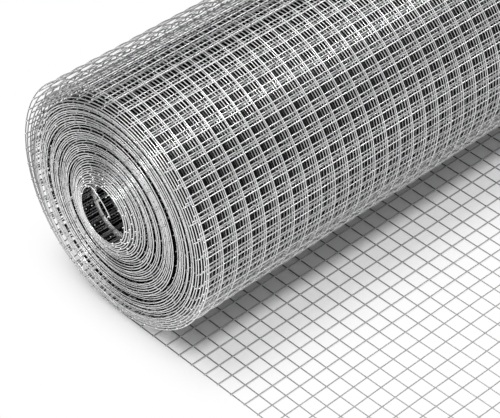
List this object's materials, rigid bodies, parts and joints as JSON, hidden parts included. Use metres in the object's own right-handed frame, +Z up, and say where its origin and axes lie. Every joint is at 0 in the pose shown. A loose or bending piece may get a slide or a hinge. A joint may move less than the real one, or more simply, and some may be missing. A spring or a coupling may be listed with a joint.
{
  "type": "roll of wire fencing",
  "caption": "Roll of galvanised welded wire mesh with an open core, part unrolled so that the roll lies on the flat free end of its own sheet.",
  "frame": {"origin": "on the floor straight under the roll's axis, at the middle of the sheet's width", "axes": "+Y along the roll's axis, away from the end whose core stands out; +X the way the sheet unrolls; +Z up"},
  "size_m": [0.3701, 0.6222, 0.1844],
  "materials": {
    "galvanised_wire": "zinc-coated drawn wire, satin, dulled at the welds"
  },
  "bodies": {
    "root": {"roll": "galvanised_wire", "lead_inner": "galvanised_wire", "lead_middle": "galvanised_wire", "lead_outer": "galvanised_wire"}
  },
  "joints": []
}
